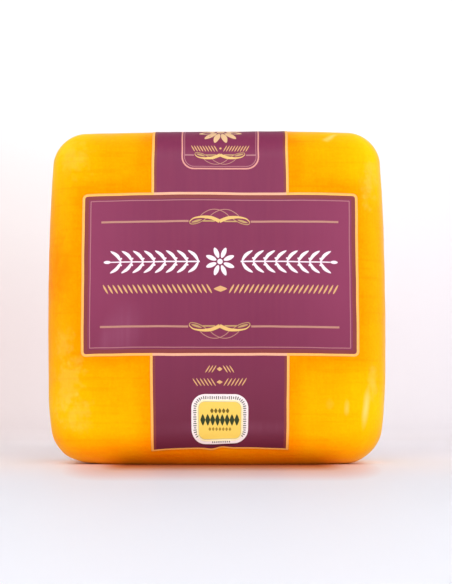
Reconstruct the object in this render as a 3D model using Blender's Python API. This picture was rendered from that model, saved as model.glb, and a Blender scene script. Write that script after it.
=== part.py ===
"""A whole pressed square cheese standing on one of its sides, with its paper label and its paper seal.

The faces look along -Y and +Y, X runs across them and Z is up. The origin is at the middle of the foot.
"""
import math

import bmesh
import bpy
from mathutils import Vector, noise

# The cheese, in metres: a rounded block as it left its mould, before it bulged and settled
HALF_WIDTH = 0.0926
HALF_HEIGHT = 0.0927
HALF_THICKNESS = 0.038
EDGE_RADIUS = 0.018

# How far the block has swelled and settled
SIDE_BULGE = 0.0024
END_BULGE = 0.0022
BULGE_FADE = 0.4
FACE_DOME = 0.004
FACE_TAPER = math.radians(1.5)
HEEL_WEAR = 0.0055
HEEL_REACH = 6
SHOULDER_RISE = 0.0005
FOOT_PRESS = 0.0016
UNEVENNESS = 0.0004
UNEVEN_LENGTH = 0.045

# How finely the block is cut
FLAT_STEPS = 14
THIN_FLAT_STEPS = 4
EDGE_STEPS = 5
FLAT_SHARE = 0.5

# The label: a cross of one sheet, its panel on the face and its band going over the top edge
LABEL_GAP = 0.0003
PAPER = 0.0004
LABEL_SHIFT = 0.0019
PANEL_HALF_WIDTH = 0.0747
PANEL_TOP = 0.0558
PANEL_BOTTOM = -0.0338
PANEL_CORNER = 0.0028
BAND_HALF_WIDTH = 0.0372
BAND_TOP = 0.130
BAND_BOTTOM = -0.0834
BAND_END_BOW = 0.00125
LABEL_STEP = 0.0095

# The seal: a round-cornered sticker on the foot of the band
SEAL_SHIFT = 0.0023
SEAL_HEIGHT = -0.0677
SEAL_HALF_WIDTH = 0.0155
SEAL_HALF_HEIGHT = 0.0135
SEAL_CORNER = 0.0065
SEAL_STEP = 0.0045
SEAL_PAPER = 0.0003

FLAT_X = HALF_WIDTH - EDGE_RADIUS
FLAT_Y = HALF_THICKNESS - EDGE_RADIUS
FLAT_Z = HALF_HEIGHT - EDGE_RADIUS
QUARTER_TURN = math.pi / 2


def clear_scene():
    for old in list(bpy.data.objects):
        bpy.data.objects.remove(old, do_unlink=True)


def clamp(value, low, high):
    return max(low, min(high, value))


def uneven(point, seed_offset):
    """Slow rise and fall of the pressed surface, between about -1 and 1."""
    return noise.noise(point / UNEVEN_LENGTH + Vector((seed_offset, 0, 0)))


def settle(point):
    """Move a point of the rounded block to where it lies on the swelled and settled cheese."""
    across = point.x / HALF_WIDTH
    deep = point.y / HALF_THICKNESS
    up = point.z / HALF_HEIGHT
    belly = 1 - BULGE_FADE * deep ** 2
    heel = HEEL_WEAR * across ** 2 * max(-up, 0) ** HEEL_REACH

    x = point.x + across * (SIDE_BULGE * (1 - up ** 2) * belly - heel)
    y = point.y + deep * (FACE_DOME * (1 - across ** 2) * (1 - up ** 2) - math.tan(FACE_TAPER) * point.z)
    z = point.z + up * END_BULGE * (1 - across ** 2) * belly
    z += SHOULDER_RISE * across * max(up, 0) ** 2

    x += UNEVENNESS * uneven(point, 0.0)
    y += UNEVENNESS * uneven(point, 7.3)
    z += UNEVENNESS * uneven(point, 19.1)
    foot = FOOT_PRESS - END_BULGE - HALF_HEIGHT
    return Vector((x, y, max(z, foot)))


def block_point(place):
    """Point of the rounded block for a place on a cube that runs from -1 to 1 along each axis."""
    core = Vector()
    direction = Vector()
    for axis, flat in enumerate((FLAT_X, FLAT_Y, FLAT_Z)):
        distance = abs(place[axis])
        sign = math.copysign(1, place[axis])
        core[axis] = sign * flat * min(distance / FLAT_SHARE, 1)
        turn = max(distance - FLAT_SHARE, 0) / (1 - FLAT_SHARE) * math.pi / 4
        direction[axis] = sign * math.tan(turn)
    return core + direction.normalized() * EDGE_RADIUS


def wrapped_point(across, up, height):
    """Point a little above the rounded block, reached over the front face and round its edges."""
    turn_x = clamp((abs(across) - FLAT_X) / EDGE_RADIUS, 0, QUARTER_TURN)
    turn_z = clamp((abs(up) - FLAT_Z) / EDGE_RADIUS, 0, QUARTER_TURN)
    past_edge = max(abs(up) - FLAT_Z - EDGE_RADIUS * QUARTER_TURN, 0)
    core = Vector((clamp(across, -FLAT_X, FLAT_X), past_edge - FLAT_Y, clamp(up, -FLAT_Z, FLAT_Z)))
    direction = Vector((
        math.copysign(math.sin(turn_x), across),
        -math.cos(turn_x) * math.cos(turn_z),
        math.copysign(math.sin(turn_z), up),
    ))
    return core + direction.normalized() * (EDGE_RADIUS + height)


def cut_across(bm, axis, places):
    """Cut the whole mesh by a plane at each place along one axis."""
    for place in places:
        normal = Vector((0, 0, 0))
        normal[axis] = 1
        geometry = bm.verts[:] + bm.edges[:] + bm.faces[:]
        bmesh.ops.bisect_plane(bm, geom=geometry, plane_co=normal * place, plane_no=normal)


def even_places(start, end, longest_step):
    """Places strictly between start and end, evenly spaced no further apart than the longest step."""
    steps = max(1, math.ceil((end - start) / longest_step - 1e-6))
    return [start + (end - start) * step / steps for step in range(1, steps)]


def principled(name, colour, roughness):
    """A matt or satin surface of one colour, given as linear red, green and blue."""
    material = bpy.data.materials.new(name)
    material.use_nodes = True
    shader = material.node_tree.nodes["Principled BSDF"]
    shader.inputs["Base Color"].default_value = (*colour, 1)
    shader.inputs["Roughness"].default_value = roughness
    shader.inputs["Metallic"].default_value = 0
    return material


def finish(name, bm, material):
    """Turn a bmesh into a smooth-shaded object of the scene."""
    mesh = bpy.data.meshes.new(name)
    bm.to_mesh(mesh)
    bm.free()
    mesh.shade_smooth()
    mesh.materials.append(material)
    thing = bpy.data.objects.new(name, mesh)
    bpy.context.collection.objects.link(thing)
    return thing


def make_cheese():
    """The cheese as one solid: a cube cut into strips, rounded, swelled and settled on its foot."""
    bm = bmesh.new()
    bmesh.ops.create_cube(bm, size=2)
    for axis, flat_steps in enumerate((FLAT_STEPS, THIN_FLAT_STEPS, FLAT_STEPS)):
        flat = even_places(-FLAT_SHARE, FLAT_SHARE, 2 * FLAT_SHARE / flat_steps)
        edge = even_places(FLAT_SHARE, 1, (1 - FLAT_SHARE) / EDGE_STEPS)
        cut_across(bm, axis, flat + [FLAT_SHARE, -FLAT_SHARE] + edge + [-place for place in edge])
    for vert in bm.verts:
        vert.co = settle(block_point(vert.co))
    bmesh.ops.triangulate(bm, faces=bm.faces[:])
    bmesh.ops.recalc_face_normals(bm, faces=bm.faces[:])
    return finish("cheese", bm, principled("oiled yellow rind", (0.95, 0.42, 0.01), 0.5))


def add_rectangle(bm, left, right, bottom, top):
    corners = [(left, bottom), (right, bottom), (right, top), (left, top)]
    bm.faces.new([bm.verts.new((x, y, 0)) for x, y in corners])


def round_corners(bm, half_width, bottom, top, radius, steps):
    """Round the corners of a flat sheet that lie half a width from its middle line."""
    corners = []
    for vert in bm.verts:
        at_side = abs(abs(vert.co.x) - half_width) < 1e-6
        at_end = min(abs(vert.co.y - bottom), abs(vert.co.y - top)) < 1e-6
        if at_side and at_end:
            corners.append(vert)
    bmesh.ops.bevel(bm, geom=corners, offset=radius, segments=steps, profile=0.5, affect="VERTICES")


def lay_sheet(name, bm, shift, height, thickness, material):
    """Lay a flat sheet on the cheese, shifted across it, and give it its thickness outwards."""
    for vert in bm.verts:
        vert.co = settle(wrapped_point(vert.co.x + shift, vert.co.y, height))
    bmesh.ops.triangulate(bm, faces=bm.faces[:])
    sheet = finish(name, bm, material)
    wall = sheet.modifiers.new("paper thickness", "SOLIDIFY")
    wall.thickness = thickness
    wall.offset = 1
    return sheet


def make_label():
    """The label: a wide panel on the face, and a band that crosses it and goes over the top edge."""
    bm = bmesh.new()
    add_rectangle(bm, -BAND_HALF_WIDTH, BAND_HALF_WIDTH, BAND_BOTTOM, PANEL_BOTTOM)
    add_rectangle(bm, -BAND_HALF_WIDTH, BAND_HALF_WIDTH, PANEL_BOTTOM, PANEL_TOP)
    add_rectangle(bm, -BAND_HALF_WIDTH, BAND_HALF_WIDTH, PANEL_TOP, BAND_TOP)
    add_rectangle(bm, -PANEL_HALF_WIDTH, -BAND_HALF_WIDTH, PANEL_BOTTOM, PANEL_TOP)
    add_rectangle(bm, BAND_HALF_WIDTH, PANEL_HALF_WIDTH, PANEL_BOTTOM, PANEL_TOP)
    round_corners(bm, PANEL_HALF_WIDTH, PANEL_BOTTOM, PANEL_TOP, PANEL_CORNER, 3)
    bmesh.ops.remove_doubles(bm, verts=bm.verts[:], dist=1e-6)

    edge_step = EDGE_RADIUS * QUARTER_TURN / (2 * EDGE_STEPS)
    edge_end = FLAT_Z + EDGE_RADIUS * QUARTER_TURN
    rows = [-FLAT_Z, FLAT_Z, edge_end]
    rows += even_places(BAND_BOTTOM, -FLAT_Z, edge_step)
    rows += even_places(-FLAT_Z, PANEL_BOTTOM, LABEL_STEP)
    rows += even_places(PANEL_BOTTOM, PANEL_TOP, LABEL_STEP)
    rows += even_places(PANEL_TOP, FLAT_Z, LABEL_STEP)
    rows += even_places(FLAT_Z, edge_end, edge_step)
    rows += even_places(edge_end, BAND_TOP, LABEL_STEP)
    cut_across(bm, 1, rows)
    columns = [FLAT_X - LABEL_SHIFT]
    columns += even_places(-PANEL_HALF_WIDTH, -BAND_HALF_WIDTH, LABEL_STEP)
    columns += even_places(-BAND_HALF_WIDTH, BAND_HALF_WIDTH, LABEL_STEP)
    columns += even_places(BAND_HALF_WIDTH, FLAT_X - LABEL_SHIFT, LABEL_STEP)
    cut_across(bm, 0, columns)

    for vert in bm.verts:
        toward_end = clamp((PANEL_BOTTOM - vert.co.y) / (PANEL_BOTTOM - BAND_BOTTOM), 0, 1)
        bow = 1 - (vert.co.x / BAND_HALF_WIDTH) ** 2
        vert.co.y += BAND_END_BOW * bow * toward_end ** 2
    paper = principled("printed purple paper", (0.26, 0.047, 0.109), 0.45)
    return lay_sheet("label", bm, LABEL_SHIFT, LABEL_GAP, PAPER, paper)


def make_seal():
    """The seal: a small white sheet with round corners, on the lower end of the band."""
    bm = bmesh.new()
    bottom = SEAL_HEIGHT - SEAL_HALF_HEIGHT
    top = SEAL_HEIGHT + SEAL_HALF_HEIGHT
    add_rectangle(bm, -SEAL_HALF_WIDTH, SEAL_HALF_WIDTH, bottom, top)
    round_corners(bm, SEAL_HALF_WIDTH, bottom, top, SEAL_CORNER, 6)
    cut_across(bm, 1, even_places(bottom, -FLAT_Z, SEAL_STEP) + [-FLAT_Z] + even_places(-FLAT_Z, top, SEAL_STEP))
    cut_across(bm, 0, even_places(-SEAL_HALF_WIDTH, SEAL_HALF_WIDTH, SEAL_STEP))
    paper = principled("white sticker paper", (0.85, 0.83, 0.8), 0.5)
    height = LABEL_GAP + PAPER + LABEL_GAP
    return lay_sheet("seal", bm, SEAL_SHIFT, height, SEAL_PAPER, paper)


def stand_on_origin(things):
    """Move everything so that the origin is at the middle of the bottom of its bounding box."""
    bpy.context.view_layer.update()
    graph = bpy.context.evaluated_depsgraph_get()
    points = []
    for thing in things:
        solid = thing.evaluated_get(graph)
        points += [solid.matrix_world @ vert.co for vert in solid.data.vertices]
    low = Vector([min(point[axis] for point in points) for axis in range(3)])
    high = Vector([max(point[axis] for point in points) for axis in range(3)])
    shift = Vector(((low.x + high.x) / 2, (low.y + high.y) / 2, low.z))
    for thing in things:
        for vert in thing.data.vertices:
            vert.co -= shift


clear_scene()
stand_on_origin([make_cheese(), make_label(), make_seal()])
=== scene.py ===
import math

import bmesh
import bpy
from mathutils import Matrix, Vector, noise


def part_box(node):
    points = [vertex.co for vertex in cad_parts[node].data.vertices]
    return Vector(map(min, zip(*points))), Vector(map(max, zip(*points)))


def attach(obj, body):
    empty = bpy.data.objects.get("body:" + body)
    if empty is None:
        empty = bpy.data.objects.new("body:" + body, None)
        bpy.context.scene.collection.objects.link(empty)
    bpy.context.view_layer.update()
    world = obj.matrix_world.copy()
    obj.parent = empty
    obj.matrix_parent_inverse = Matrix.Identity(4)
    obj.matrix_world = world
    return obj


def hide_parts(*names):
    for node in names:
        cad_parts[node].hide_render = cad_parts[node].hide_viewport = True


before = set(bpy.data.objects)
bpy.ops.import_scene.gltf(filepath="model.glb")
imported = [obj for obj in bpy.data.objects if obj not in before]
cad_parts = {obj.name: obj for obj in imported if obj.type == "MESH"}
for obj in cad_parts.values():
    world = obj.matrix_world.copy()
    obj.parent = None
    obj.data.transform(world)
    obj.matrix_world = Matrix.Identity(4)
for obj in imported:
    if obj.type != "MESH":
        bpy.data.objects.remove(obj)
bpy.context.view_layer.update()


# The photographer's view.
# The camera stands 65 cm in front of the labelled face, a hand's breadth above the table, and is tipped
# up a little, so that the whole face shows and neither the top nor the sides do.
PHOTO_HEIGHT_PIXELS = 584
FOCAL_PIXELS = 1195.9
SENSOR = 36.0
CAMERA_RIGHT = 0.0051
CAMERA_DISTANCE = 0.690
CAMERA_HEIGHT = 0.034
CAMERA_TIP = math.radians(5.26)

cheese_low, cheese_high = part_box("cheese")
cheese_middle = (cheese_low + cheese_high) / 2
bpy.ops.object.camera_add(
    location=(cheese_middle.x + CAMERA_RIGHT, cheese_middle.y - CAMERA_DISTANCE, CAMERA_HEIGHT),
    rotation=(math.pi / 2 + CAMERA_TIP, 0, 0),
)
camera = bpy.context.object
camera.name = "photo_camera"
camera.data.sensor_width = SENSOR
camera.data.lens = FOCAL_PIXELS * SENSOR / PHOTO_HEIGHT_PIXELS
camera.data.clip_start = 0.01
bpy.context.scene.camera = camera


# The studio.
# One sheet of satin white card lies on the table and curves up behind the cheese. A wide softbox hangs
# above the camera, a narrow one stands on each side, a low reflector throws light on the foot of the
# cheese, and a strip light whitens the card behind.
CARD_HALF_WIDTH = 2.5
CARD_FRONT = -2.4
CARD_CURVE_START = 0.75
CARD_CURVE_RADIUS = 0.4
CARD_TOP = 1.8
CARD_CURVE_STEPS = 32
FRONT = "EEEFF7"
# Colours of the card, with painted shade in them: darker and pinker on the left than on the right, and
# darker low on the wall
BACK_LEFT = "E6D9D8"
BACK_RIGHT = "EDECF8"
WALL_LEFT = "D0C0BE"
WALL_RIGHT = "DAD5DB"
WALL_HIGH = "DCDCDC"
# Painted shadow round the foot of the cheese, on the card: its middle, half size, reach, how much faster it
# fades behind, and its colours from the contact out, dark brown shade through warm orange painted bounce
# light to white
PAINTED_SHADOW_MIDDLE = (0.0030, -0.014, 0)
PAINTED_SHADOW_HALF = (0.050, 0.005, 1)
PAINTED_SHADOW_REACH = (0.034, 0.150, 1)
PAINTED_SHADOW_BEHIND = (1, 3, 1)
PAINTED_SHADOW_STEPS = (
    (0.0, "7A2C04"), (0.10, "A24A16"), (0.27, "D48A5E"), (0.50, "F4D0C2"), (0.75, "FBE3DD"), (1.0, "FFFFFF"),
)
# Painted light under the lower corners of the cheese: strength and colour of the card's glow
UNDER_PAINTED_GLOW = 0.20
UNDER_PAINTED_GLOW_COLOUR = "F4DCD4"
# Where the card's colours, and the painted light under the cheese, run from none to all: axis, start, end
# and kind
CARD_FADES = {
    "right": ("X", -0.5, 0.5, "LINEAR"),
    "high": ("Z", 0.10, 0.60, "SMOOTHSTEP"),
    "wall": ("Y", 0.05, 0.42, "LINEAR"),
    "front": ("Y", 0.06, -0.20, "SMOOTHSTEP"),
    "under_left": ("X", -0.070, -0.086, "LINEAR"),
    "under_right": ("X", 0.062, 0.080, "LINEAR"),
    "under_end": ("beside", 0.102, 0.084, "SMOOTHSTEP"),
    "under_front": ("Y", -0.026, -0.012, "SMOOTHSTEP"),
    "under_back": ("Y", 0.040, 0.000, "SMOOTHSTEP"),
}
CHEESE_HEART = (0, 0, 0.09)
# Lamps: place, the point that each faces, width, height and power in watts
LAMPS = (
    ("front_softbox", (0.15, -1.7, 1.25), CHEESE_HEART, 2.4, 0.8, 34.2),
    ("left_softbox", (-1.0, -0.5, 0.45), CHEESE_HEART, 0.4, 0.8, 1.5),
    ("right_softbox", (1.0, -0.5, 0.45), CHEESE_HEART, 0.4, 0.8, 1.5),
    ("table_reflector", (0, -0.74, 0.012), (0, 0, 0.01), 1.2, 0.02, 0.8),
    ("card_light", (0, 0.35, 0.85), (0, 1.15, 0.35), 1.8, 0.4, 8.0),
)
ROOM_COLOUR = "FFFFFF"
ROOM_LIGHT = 0.40


def linear(hex_colour):
    """Linear red, green, blue and alpha of an sRGB hex colour."""
    channels = []
    for start in (0, 2, 4):
        value = int(hex_colour[start:start + 2], 16) / 255
        channels.append(value / 12.92 if value <= 0.04045 else ((value + 0.055) / 1.055) ** 2.4)
    return (*channels, 1.0)


def add_node(tree, kind, settings, output=None):
    """Add a node, and return it or the output that is asked for.

    A setting is a property, a socket's own value, or an output that feeds the socket.
    """
    node = tree.nodes.new(kind)
    for name, value in settings.items():
        if isinstance(name, str) and hasattr(node, name):
            setattr(node, name, value)
        elif isinstance(value, bpy.types.NodeSocket):
            tree.links.new(value, node.inputs[name])
        else:
            node.inputs[name].default_value = linear(value) if isinstance(value, str) else value
    return node if output is None else node.outputs[output]


def new_material(name, roughness, ior=1.5, specular=0.5):
    """A material, with its tree, its Principled shader and the place of the point that is shaded."""
    material = bpy.data.materials.new(name)
    material.use_nodes = True
    tree = material.node_tree
    shader = tree.nodes["Principled BSDF"]
    shader.inputs["Roughness"].default_value = roughness
    shader.inputs["IOR"].default_value = ior
    shader.inputs["Specular IOR Level"].default_value = specular
    place = add_node(tree, "ShaderNodeTexCoord", {}, "Object")
    return material, tree, shader, place


def lay_colours(tree, colour, layers):
    """A colour with others laid over it in turn, each with the share that covers what is under it."""
    for share, over in layers:
        colour = add_node(tree, "ShaderNodeMix", {"data_type": "RGBA", 0: share, 6: colour, 7: over}, 2)
    return colour
card_profile = [(CARD_FRONT, 0.0), (CARD_CURVE_START, 0.0)]
for step in range(1, CARD_CURVE_STEPS + 1):
    turn = math.pi / 2 * step / CARD_CURVE_STEPS
    card_profile.append((
        CARD_CURVE_START + CARD_CURVE_RADIUS * math.sin(turn),
        CARD_CURVE_RADIUS * (1 - math.cos(turn)),
    ))
card_profile.append((CARD_CURVE_START + CARD_CURVE_RADIUS, CARD_TOP))
card_points = [(side * CARD_HALF_WIDTH, y, z) for side in (-1, 1) for y, z in card_profile]
row = len(card_profile)
card_faces = [(index, index + row, index + row + 1, index + 1) for index in range(row - 1)]
card_mesh = bpy.data.meshes.new("studio_card")
card_mesh.from_pydata(card_points, [], card_faces)
card_mesh.shade_smooth()
card = bpy.data.objects.new("studio_card", card_mesh)
bpy.context.collection.objects.link(card)

# White card, a little warm where it curves up. Painted shade makes it darker and pinker on the left and low
# on the wall, and a painted shadow, warm and dark, lies round the foot of the cheese, where the rind shades
# it and throws its colour on it
white_card, tree, shader, place = new_material("satin white card", 0.6, specular=0.4)
axes = add_node(tree, "ShaderNodeSeparateXYZ", {0: place})
along = {axis: axes.outputs[axis] for axis in "XYZ"}
along["beside"] = add_node(tree, "ShaderNodeMath", {"operation": "ABSOLUTE", 0: axes.outputs["X"]}, 0)
shares = {}
for name, (axis, start, end, kind) in CARD_FADES.items():
    shares[name] = add_node(
        tree, "ShaderNodeMapRange",
        {"interpolation_type": kind, "From Min": start, "From Max": end, "Value": along[axis]}, 0,
    )
wall = lay_colours(tree, WALL_LEFT, [(shares["right"], WALL_RIGHT), (shares["high"], WALL_HIGH)])
shade = lay_colours(
    tree, BACK_LEFT, [(shares["right"], BACK_RIGHT), (shares["wall"], wall), (shares["front"], FRONT)],
)
# Painted shadow and painted orange bounce light round the foot of the cheese, multiplied into the card's
# colour
off = add_node(tree, "ShaderNodeVectorMath", {"operation": "SUBTRACT", 0: place, 1: PAINTED_SHADOW_MIDDLE}, 0)
behind = add_node(tree, "ShaderNodeVectorMath", {"operation": "MULTIPLY", 0: off, 1: PAINTED_SHADOW_BEHIND}, 0)
for operation, value in (
    ("MULTIPLY", (-1, -1, -1)), ("MAXIMUM", behind), ("SUBTRACT", PAINTED_SHADOW_HALF), ("MAXIMUM", (0, 0, 0)),
    ("DIVIDE", PAINTED_SHADOW_REACH),
):
    off = add_node(tree, "ShaderNodeVectorMath", {"operation": operation, 0: off, 1: value}, 0)
distance = add_node(tree, "ShaderNodeVectorMath", {"operation": "LENGTH", 0: off}, "Value")
painted_shadow = add_node(tree, "ShaderNodeValToRGB", {"Fac": distance})
ramp = painted_shadow.color_ramp
while len(ramp.elements) < len(PAINTED_SHADOW_STEPS):
    ramp.elements.new(0.5)
for element, (at, colour) in zip(ramp.elements, PAINTED_SHADOW_STEPS):
    element.position = at
    element.color = linear(colour)
shade = add_node(
    tree, "ShaderNodeMix",
    {"data_type": "RGBA", "blend_type": "MULTIPLY", 0: 1.0, 6: shade, 7: painted_shadow.outputs[0]}, 2,
)
tree.links.new(shade, shader.inputs["Base Color"])

# Painted light: the card glows under the lower corners, where they stand off the table, standing in for
# light that shines through and off the rind
under = add_node(
    tree, "ShaderNodeMath", {"operation": "ADD", 0: shares["under_left"], 1: shares["under_right"]}, 0,
)
for share in (shares["under_end"], shares["under_front"], shares["under_back"], UNDER_PAINTED_GLOW):
    under = add_node(tree, "ShaderNodeMath", {"operation": "MULTIPLY", 0: under, 1: share}, 0)
tree.links.new(under, shader.inputs["Emission Strength"])
shader.inputs["Emission Color"].default_value = linear(UNDER_PAINTED_GLOW_COLOUR)
card_mesh.materials.append(white_card)

for name, stand, target, width, height, power in LAMPS:
    facing = (Vector(target) - Vector(stand)).to_track_quat("-Z", "Y").to_euler()
    bpy.ops.object.light_add(type="AREA", location=stand, rotation=facing)
    lamp = bpy.context.object
    lamp.name = name
    lamp.data.shape = "RECTANGLE"
    lamp.data.size = width
    lamp.data.size_y = height
    lamp.data.energy = power

world = bpy.data.worlds.new("studio_room")
bpy.context.scene.world = world
world.use_nodes = True
room = world.node_tree.nodes["Background"]
room.inputs["Color"].default_value = linear(ROOM_COLOUR)
room.inputs["Strength"].default_value = ROOM_LIGHT
bpy.context.scene.view_settings.view_transform = "Standard"


# The cheese.
# One block of pressed curd, moulded square in a cloth, then brined, dyed and oiled. It leaves the mould
# as a rounded block, swells a little on every side, and settles flat on the side that it stands on.
HALF_WIDTH = 0.0926
HALF_HEIGHT = 0.0927
HALF_THICKNESS = 0.038
EDGE_RADIUS = 0.018
SIDE_BULGE = 0.0024
END_BULGE = 0.0022
BULGE_FADE = 0.4
FACE_DOME = 0.004
FACE_TAPER = math.radians(1.5)
HEEL_WEAR = 0.0047
HEEL_REACH = 6
SHOULDER_RISE = 0.0005
TOP_SAG = 0.0007
CORNER_WEAR = 0.0005
LEFT_WEAR = 0.0004
LEFT_LIFT = 0.0011
LIFT_START = (0.061, 0.078)
LIFT_END = (0.076, 0.085)
LIFT_LOW = (0.75, 1)
FOOT_PRESS = 0.0016
UNEVENNESS = 0.0004
UNEVEN_LENGTH = 0.045
DIMPLES = 0.00016
DIMPLE_LENGTH = 0.013
# Offsets of the noise that makes the cheese uneven and dimpled along each axis
UNEVEN_SEEDS = ((0.0, 3.1), (7.3, 11.7), (19.1, 23.9))
CHEESE_CUTS = 83
FLAT_SHARE = 0.68
FLAT_X = HALF_WIDTH - EDGE_RADIUS
FLAT_Y = HALF_THICKNESS - EDGE_RADIUS
FLAT_Z = HALF_HEIGHT - EDGE_RADIUS
QUARTER_TURN = math.pi / 2


def deselect_all():
    bpy.ops.object.select_all(action="DESELECT")


def clamp(value, low, high):
    return max(low, min(high, value))


def ease(value, start, end):
    """Smooth step from 0 at start to 1 at end."""
    share = clamp((value - start) / (end - start), 0, 1)
    return share * share * (3 - 2 * share)


def uneven(point, length, seed_offset):
    return noise.noise(point / length + Vector((seed_offset, 0, 0)))


def settle(point):
    """Move a point of the rounded block to where it lies on the swelled and settled cheese."""
    across = point.x / HALF_WIDTH
    deep = point.y / HALF_THICKNESS
    up = point.z / HALF_HEIGHT
    belly = 1 - BULGE_FADE * deep ** 2
    heel = HEEL_WEAR * across ** 2 * max(-up, 0) ** HEEL_REACH

    x = point.x + across * (SIDE_BULGE * (1 - up ** 2) * belly - heel - CORNER_WEAR * abs(across) * up ** 2)
    x += LEFT_WEAR * max(-across, 0) ** 2
    y = point.y + deep * (FACE_DOME * (1 - across ** 2) * (1 - up ** 2) - math.tan(FACE_TAPER) * point.z)
    z = point.z + up * END_BULGE * (1 - across ** 2) * belly
    z += (SHOULDER_RISE * across - TOP_SAG * (1 - across ** 2)) * max(up, 0) ** 2

    place = [x, y, z]
    for axis, (uneven_seed, dimple_seed) in enumerate(UNEVEN_SEEDS):
        place[axis] += (
            UNEVENNESS * uneven(point, UNEVEN_LENGTH, uneven_seed)
            + DIMPLES * uneven(point, DIMPLE_LENGTH, dimple_seed)
        )
    x, y, z = place
    foot = FOOT_PRESS - END_BULGE - HALF_HEIGHT
    lift = LEFT_LIFT * ease(-x, *LIFT_START) * (1 - ease(-x, *LIFT_END)) * ease(-up, *LIFT_LOW)
    return Vector((x, y, max(z, foot) + lift))


def block_point(place):
    """Point of the rounded block for a place on a cube that runs from -1 to 1 along each axis."""
    core = Vector()
    direction = Vector()
    for axis, flat in enumerate((FLAT_X, FLAT_Y, FLAT_Z)):
        distance = abs(place[axis])
        sign = math.copysign(1, place[axis])
        core[axis] = sign * flat * min(distance / FLAT_SHARE, 1)
        turn = max(distance - FLAT_SHARE, 0) / (1 - FLAT_SHARE) * math.pi / 4
        direction[axis] = sign * math.tan(turn)
    return core + direction.normalized() * EDGE_RADIUS


deselect_all()
bpy.ops.mesh.primitive_cube_add(size=2, location=(0, 0, 0))
cheese = bpy.context.object
cheese.name = "cheese_block"
bpy.ops.object.mode_set(mode="EDIT")
bpy.ops.mesh.select_all(action="SELECT")
bpy.ops.mesh.subdivide(number_cuts=CHEESE_CUTS)
bpy.ops.object.mode_set(mode="OBJECT")
block_places = [block_point(vert.co) for vert in cheese.data.vertices]
settled = [settle(point) for point in block_places]
low = Vector([min(point[axis] for point in settled) for axis in range(3)])
high = Vector([max(point[axis] for point in settled) for axis in range(3)])
to_frame = cheese_middle - (low + high) / 2
to_frame.z = cheese_low.z - low.z
for vert, point in zip(cheese.data.vertices, settled):
    vert.co = point + to_frame
bpy.ops.object.shade_smooth()
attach(cheese, "root")
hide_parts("cheese")


# The label's outline, in metres from the middle of the face, along the surface of the cheese
LABEL_SHIFT = 0.0019
PANEL_HALF_WIDTH = 0.0748
PANEL_TOP = 0.0553
PANEL_BOTTOM = -0.0338
BAND_HALF_WIDTH = 0.0372
BAND_TOP = 0.130
BAND_BOTTOM = -0.0846

# Tone of the rind, with painted light in it: yellower toward the corners and at the sides, most on the
# right, and on the upper rims, as painted sheen; deeper orange at the foot and the lower corners, as painted
# shade; a little lighter low down and darker high up, and deeper orange round the label. A pair of values
# says where a tone starts and where it is full, as a share of half the cheese or in metres.
TONE_MIDDLE = 0.32
# Painted sheen: yellower toward the corners, and at the sides, most on the right
PAINTED_CORNER_SHEEN = 1.0
PAINTED_LEFT_SHEEN = 0.05
PAINTED_RIGHT_SHEEN = 0.30
TONE_LOW = 0.16
LOW_TONE_RANGE = (0.45, 0.75)
TONE_HIGH = 0.11
HIGH_TONE_RANGE = (0.1, 0.6)
TONE_LABEL = 0.25
TONE_LABEL_REACH = 0.012
# Painted shade: deeper orange at the foot and at the lower corners, where the table's shade and orange
# bounce light fall
PAINTED_FOOT_SHADE = 0.10
FOOT_SHADE_HEIGHT = (0.020, 0.006)
PAINTED_HEEL_SHADE = 0.80
HEEL_SHADE_HEIGHT = (0.034, 0.012)
TONE_LEAST = 0.1
# Painted sheen on the rounded edges of the upper half
PAINTED_RIM_SHEEN = 0.40
RIM_SHEEN_TURN = (20, 75)
RIM_SHEEN_RANGE = (0.5, 0.9)

# How pale the edges are, rubbed and with a painted sheen, on all sides, and more on the right and at the top
# where the light falls
PALE_SIDES = 0.12
PALE_RIGHT = 0.34
PALE_RIGHT_RANGE = (0.5, 0.9)
PALE_TOP = 0.20
PALE_TURN = (50, 85)
PALE_FADE = 0.75
PALE_REACH = 0.014


def reach_up(point):
    """How far up the front a point of the block lies, measured on over the top edge."""
    if point.z < FLAT_Z:
        return point.z
    if point.y < -FLAT_Y:
        return FLAT_Z + EDGE_RADIUS * math.atan2(point.z - FLAT_Z, -point.y - FLAT_Y)
    return FLAT_Z + EDGE_RADIUS * QUARTER_TURN + point.y + FLAT_Y


def beside_label(point):
    """Distance of a point of the block from the label, along the surface."""
    if point.y > 0 and point.z < FLAT_Z:
        return 1.0
    across = abs(point.x - LABEL_SHIFT)
    up = reach_up(point)
    to_panel = Vector((
        max(across - PANEL_HALF_WIDTH, 0),
        max(up - PANEL_TOP, PANEL_BOTTOM - up, 0),
    ))
    to_band = Vector((max(across - BAND_HALF_WIDTH, 0), max(up - BAND_TOP, BAND_BOTTOM - up, 0)))
    return min(to_panel.length, to_band.length)


def round_edge(point, start, end):
    """How far the surface has turned, between two angles in degrees, from the face to a side: 0 to 1."""
    facing = abs(point.y - clamp(point.y, -FLAT_Y, FLAT_Y)) / EDGE_RADIUS
    return ease(math.degrees(math.acos(min(facing, 1))), start, end)


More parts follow.
